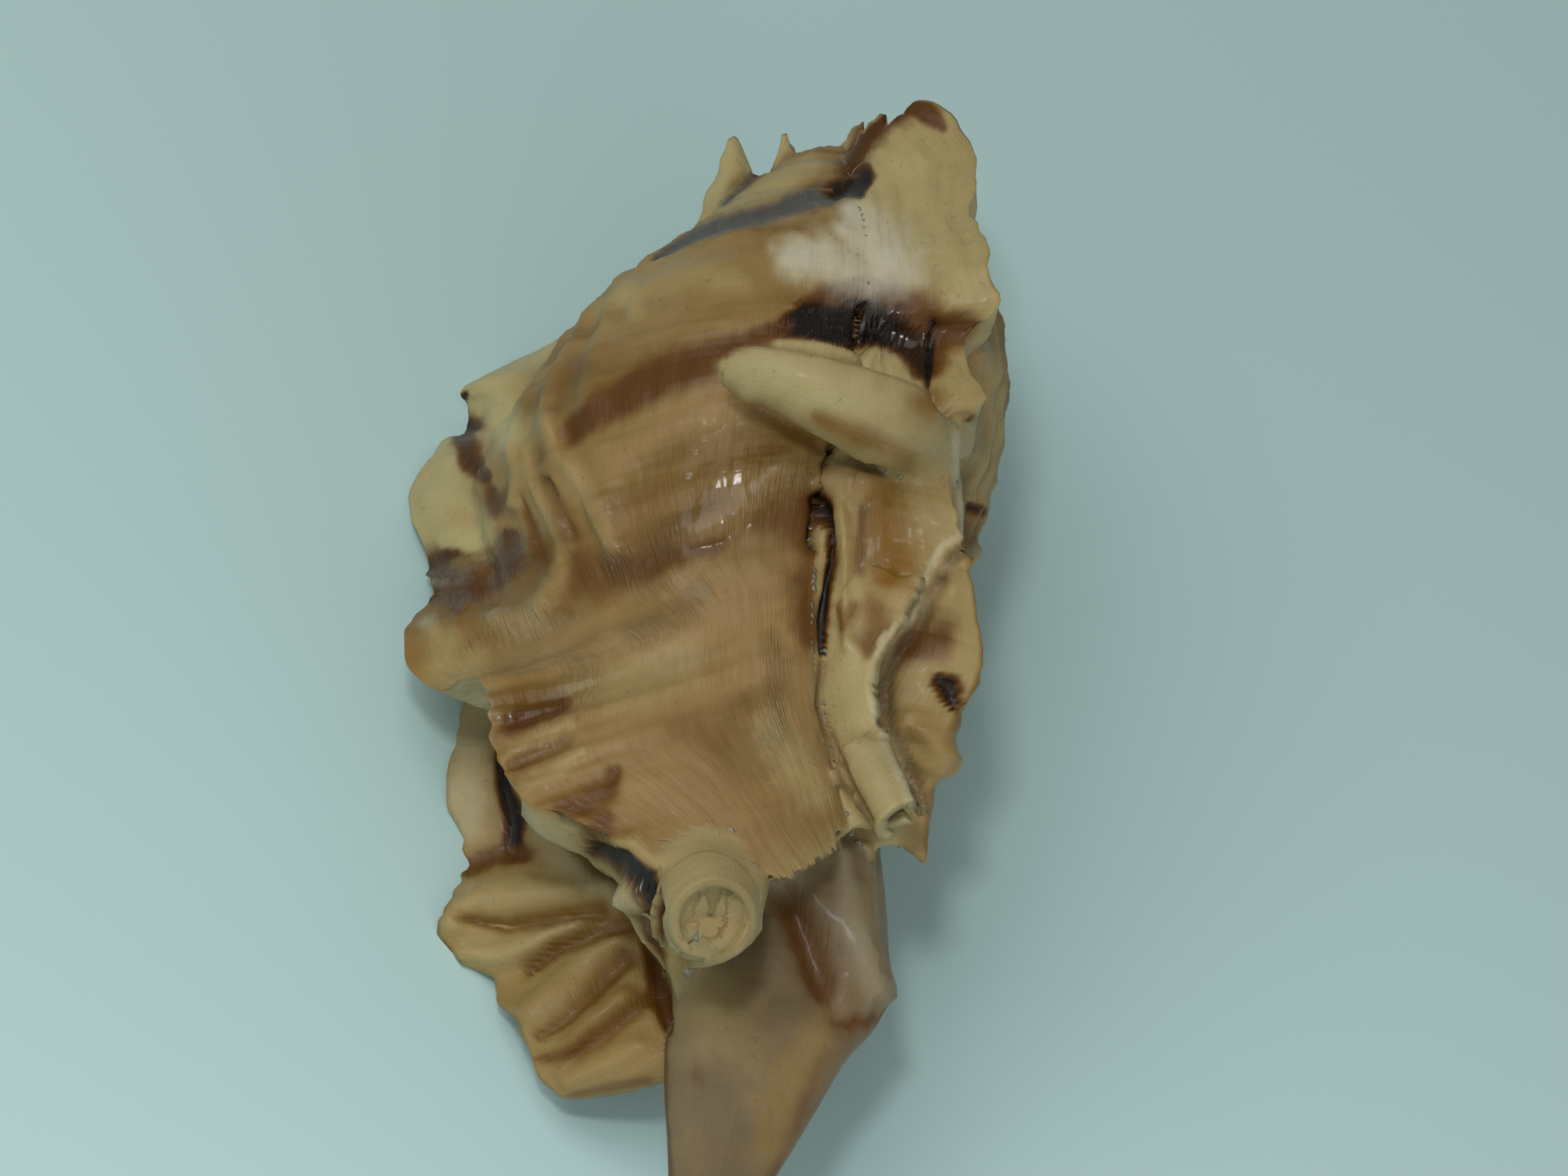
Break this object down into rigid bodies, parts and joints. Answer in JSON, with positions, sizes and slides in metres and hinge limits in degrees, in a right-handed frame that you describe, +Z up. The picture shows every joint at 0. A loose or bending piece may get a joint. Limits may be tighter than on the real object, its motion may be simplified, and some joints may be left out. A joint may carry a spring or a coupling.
{
  "type": "murex shell",
  "caption": "Large three-winged murex shell lying with its mouth side down, with a swollen body whorl, frilled wings, rolled open spines, an oval mouth and a long tapering siphonal canal.",
  "frame": {"origin": "bottom centre of the bounding box, on the surface that the shell lies on", "axes": "+Y runs from the canal's tip to the apex, +Z is up as the shell lies with its mouth side down, +X to the right seen from the canal"},
  "size_m": [0.0438, 0.1072, 0.0423],
  "materials": {
    "shell": "glossy tan and brown banded shell, cream at the wing edges"
  },
  "bodies": {
    "root": {"shell": "shell"}
  },
  "joints": []
}
